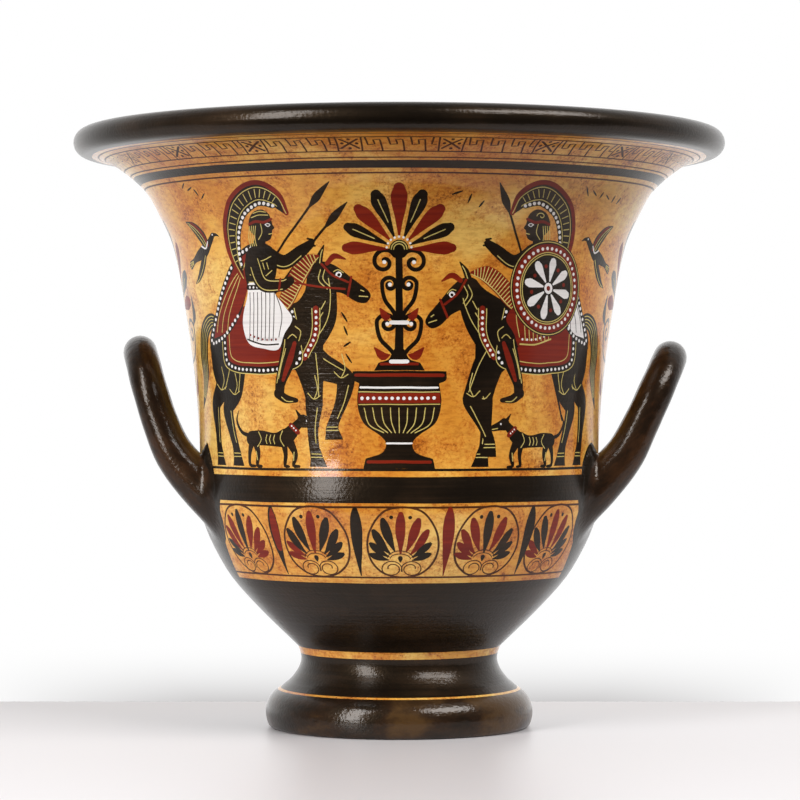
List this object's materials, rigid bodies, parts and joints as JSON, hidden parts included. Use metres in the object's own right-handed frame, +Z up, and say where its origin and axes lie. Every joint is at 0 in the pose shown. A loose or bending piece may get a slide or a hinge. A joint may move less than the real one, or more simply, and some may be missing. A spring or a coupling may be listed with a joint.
{
  "type": "bell krater",
  "caption": "Painted bell krater: a hollow flaring bowl on a bulging ring foot, open at the top, with an upturned loop handle on each side.",
  "frame": {"origin": "on the vessel's axis, in the plane of the ring that it stands on", "axes": "+Z up along the vessel's axis, +X through the middle of the right handle, -Y towards the front picture"},
  "size_m": [0.3, 0.3, 0.2745],
  "materials": {
    "krater": "painted and varnished earthenware, ochre with dark brown-black glaze"
  },
  "bodies": {
    "root": {"krater": "krater"}
  },
  "joints": []
}
